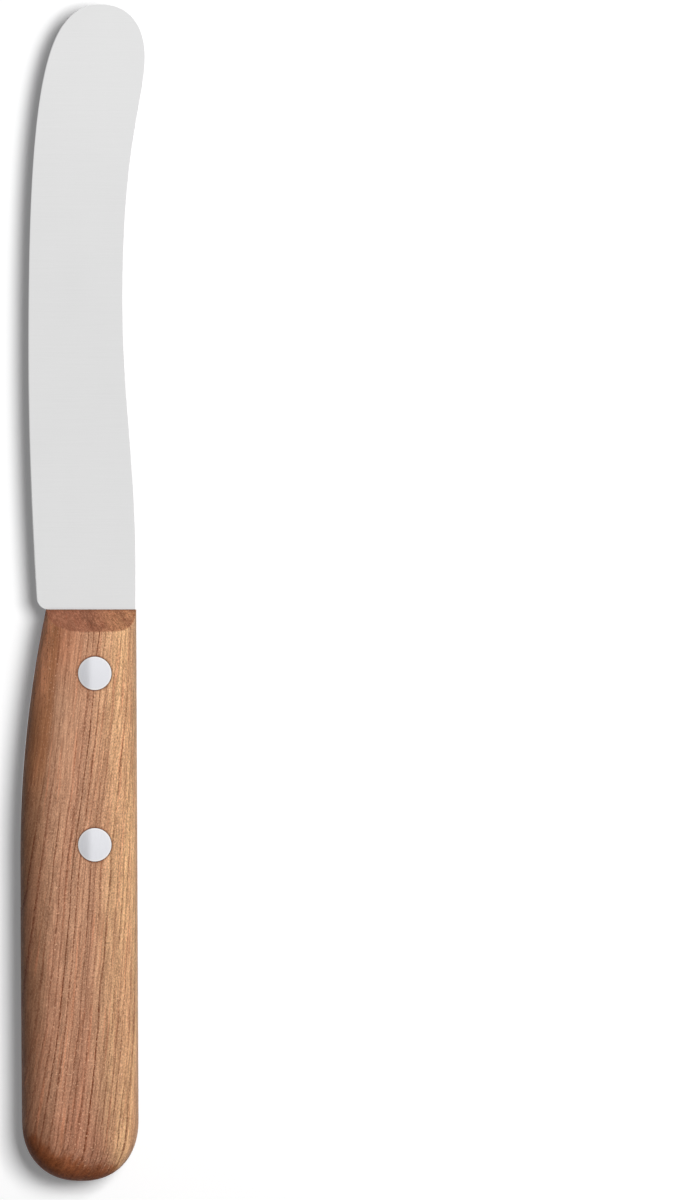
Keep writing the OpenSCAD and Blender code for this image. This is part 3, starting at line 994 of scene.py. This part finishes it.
class KNIFE_OT_handle(bpy.types.Operator):
    """Make the wooden handle with its kerf and its rivet seats"""

    bl_idname = "knife.handle"
    bl_label = "Make Handle"

    def execute(self, context):
        s, rivets = context.scene.knife_handle, context.scene.knife_rivets
        steel = context.scene.knife_blade
        kerf = steel.stock + 2 * s.kerf_side
        handle = skin("wooden_handle", handle_rings(s, kerf), ("fill", "point"))
        half = s.thickness / 2
        seat = half - rivets.head_depth
        belly = handle_back(s, steel.tang_length) - handle_width(s, steel.tang_length)
        saw = (float(belly) / 2, steel.saw_radius - steel.tang_length)
        cutters = [drum(saw, steel.saw_radius + s.kerf_end, -kerf / 2, kerf / 2, SAW_FACETS)]
        tube = rivets.tube / 2 + rivets.tube_room
        head = rivets.head / 2 + rivets.head_room
        for middle in rivet_middles():
            cutters.append(stepped_drum(middle, tube, head, seat, half + WOOD_CUT))
        note_end_grain(cut(handle, cutters))
        fit(handle, "handle", oiled_wood(s))
        return {"FINISHED"}


class KNIFE_OT_rivets(bpy.types.Operator):
    """Make both rivets, each a pin and a tube with heads"""

    bl_idname = "knife.rivets"
    bl_label = "Make Rivets"

    def execute(self, context):
        s = context.scene.knife_rivets
        half = context.scene.knife_handle.thickness / 2
        metal = bright_aluminium(s)
        halves = (("pin", "post", post_rings), ("tube", "socket", socket_rings))
        for name, middle in zip(("front", "rear"), rivet_middles()):
            for shape, node, rings in halves:
                piece = skin(f"{name}_{shape}", rings(s, middle, half), ("point", "point"))
                note_rim(piece, middle, s.head / 2)
                fit(piece, f"{name}_rivet_{node}", metal)
        return {"FINISHED"}


class KNIFE_OT_stage(bpy.types.Operator):
    """Lay the table, set the lights and hang the camera over the knife"""

    bl_idname = "knife.stage"
    bl_label = "Set Stage"

    def execute(self, context):
        s = context.scene.knife_stage
        lay_table(s)
        hang_key(s)
        white_sky(s)
        hang_camera(s)
        context.scene.view_settings.view_transform = "Standard"
        return {"FINISHED"}


# Stage


def lay_table(s):
    """A wide pale table just under the knife, that turns to plain white away from it. Matt surfaces
    get only a little light from it."""
    half, z = TABLE_HALF, CAD_BOX[0].z - TABLE_GAP
    corners = [(-half, -half, z), (half, -half, z), (half, half, z), (-half, half, z)]
    mesh = bpy.data.meshes.new("table")
    mesh.from_pydata(corners, [], [(0, 1, 2, 3)])
    table = link("table", mesh)
    material, t = new_finish("pale_table")
    rays = [t.add("ShaderNodeLightPath", out=kind) for kind in SEEN_RAYS]
    matt = t.add("ShaderNodeLightPath", out="Diffuse Depth").math("MINIMUM", 1.0)
    seen = rays[0].math("MAXIMUM", rays[1]).math("MAXIMUM", rays[2]) * (1 - matt)
    x, y, z = t.place("Object")
    away = (x * x + y * y).math("SQRT")
    cloth = t.mix(away.between(0.2, 0.45), s.floor_colour, BLACK)
    glow = t.mix(away.between(0.14, 0.32), s.floor_glow, WHITE)
    t.surface(
        base_color=t.mix(seen, s.bounce_colour, cloth),
        roughness=0.9,
        specular_ior_level=0.0,
        emission_color=t.mix(seen, BLACK, glow),
        emission_strength=1.0,
    )
    mesh.materials.append(material)


def hang_key(s):
    """A square soft light on the knife's back side, a little toward the tip. A white table under a
    light of P watts at distance D and height h shows P sin(h) / (pi D)^2."""
    flat, up = math.cos(s.key_height), math.sin(s.key_height)
    toward = Vector((flat * math.cos(s.key_turn), flat * math.sin(s.key_turn), up))
    light = bpy.data.lights.new("key", "AREA")
    light.shape = "SQUARE"
    light.size = s.key_size
    light.energy = s.key_level * (math.pi * s.key_distance) ** 2 / up
    key = link("key", light)
    key.location = toward * s.key_distance
    key.rotation_euler = toward.to_track_quat("Z", "Y").to_euler()
    key.visible_camera = False
    key.visible_glossy = False


def white_sky(s):
    """White for the camera, for metal a bright room that steps down on the belly's side and fades
    toward the horizon, and for everything matt a dim sky that is brighter on the key's side."""
    world = bpy.data.worlds.new("sky")
    bpy.context.scene.world = world
    t = Tree(world)
    x, y, z = t.place("Generated")
    slope = x * math.cos(s.key_turn) + y * math.sin(s.key_turn)
    tilt = x * 0.1 + y.between(-0.25, 0.25, -0.04, 0.04)
    room = (x.between(-0.125, -0.055, 0.77, 1.05) + tilt) * z.between(0.1, 0.95, 0.55, 1.0)
    fill = (slope * 1.3 + 1.0).math("MAXIMUM", 0.0) * s.sky_level
    seen, glossy, clear = (t.add("ShaderNodeLightPath", out=kind) for kind in SEEN_RAYS)
    mirror = glossy.math("MAXIMUM", clear)
    level = mirror * room + (1 - mirror) * fill
    level = seen + (1 - seen) * level
    back = t.add("ShaderNodeBackground", None, {"Color": (1, 1, 1, 1), "Strength": level})
    t.add("ShaderNodeOutputWorld", None, {"Surface": back})


def hang_camera(s):
    """A long lens straight above the middle of the photograph's frame, with the tip at the top. The
    frame's long side is the sensor's, so the distance is that side times lens over sensor."""
    camera_data = bpy.data.cameras.new("camera")
    camera_data.lens = s.lens
    camera = link("camera", camera_data)
    distance = PHOTO_HIGH * PIXEL * s.lens / camera_data.sensor_width
    across = (PHOTO_WIDE / 2 - BACK_COLUMN) * PIXEL
    along = (FRONT_ROW - PHOTO_HIGH / 2) * PIXEL
    camera.location = (DATUM[0] + across, DATUM[1] + along, DATUM[2] + distance)
    camera_data.clip_end = 20.0
    bpy.context.scene.camera = camera


# Panel


class KNIFE_PT_panel(bpy.types.Panel):
    """The knife's pieces and settings"""

    bl_label = "Butter Knife"
    bl_idname = "KNIFE_PT_panel"
    bl_space_type = "VIEW_3D"
    bl_region_type = "UI"
    bl_category = "Knife"

    def draw(self, context):
        for operator, group in (
            (KNIFE_OT_blade, context.scene.knife_blade),
            (KNIFE_OT_handle, context.scene.knife_handle),
            (KNIFE_OT_rivets, context.scene.knife_rivets),
            (KNIFE_OT_stage, context.scene.knife_stage),
        ):
            box = self.layout.box()
            box.operator(operator.bl_idname)
            for name in group.__annotations__:
                box.prop(group, name)


SETTINGS = {
    "knife_blade": BladeSettings,
    "knife_handle": HandleSettings,
    "knife_rivets": RivetSettings,
    "knife_stage": StageSettings,
}
CLASSES = (
    *SETTINGS.values(),
    KNIFE_OT_blade,
    KNIFE_OT_handle,
    KNIFE_OT_rivets,
    KNIFE_OT_stage,
    KNIFE_PT_panel,
)


def register():
    for cls in CLASSES:
        bpy.utils.register_class(cls)
    for name, group in SETTINGS.items():
        setattr(bpy.types.Scene, name, bpy.props.PointerProperty(type=group))


def unregister():
    for name in SETTINGS:
        delattr(bpy.types.Scene, name)
    for cls in reversed(CLASSES):
        bpy.utils.unregister_class(cls)


def main():
    register()
    bpy.ops.knife.blade()
    bpy.ops.knife.handle()
    bpy.ops.knife.rivets()
    bpy.ops.knife.stage()


if __name__ == "__main__":
    main()
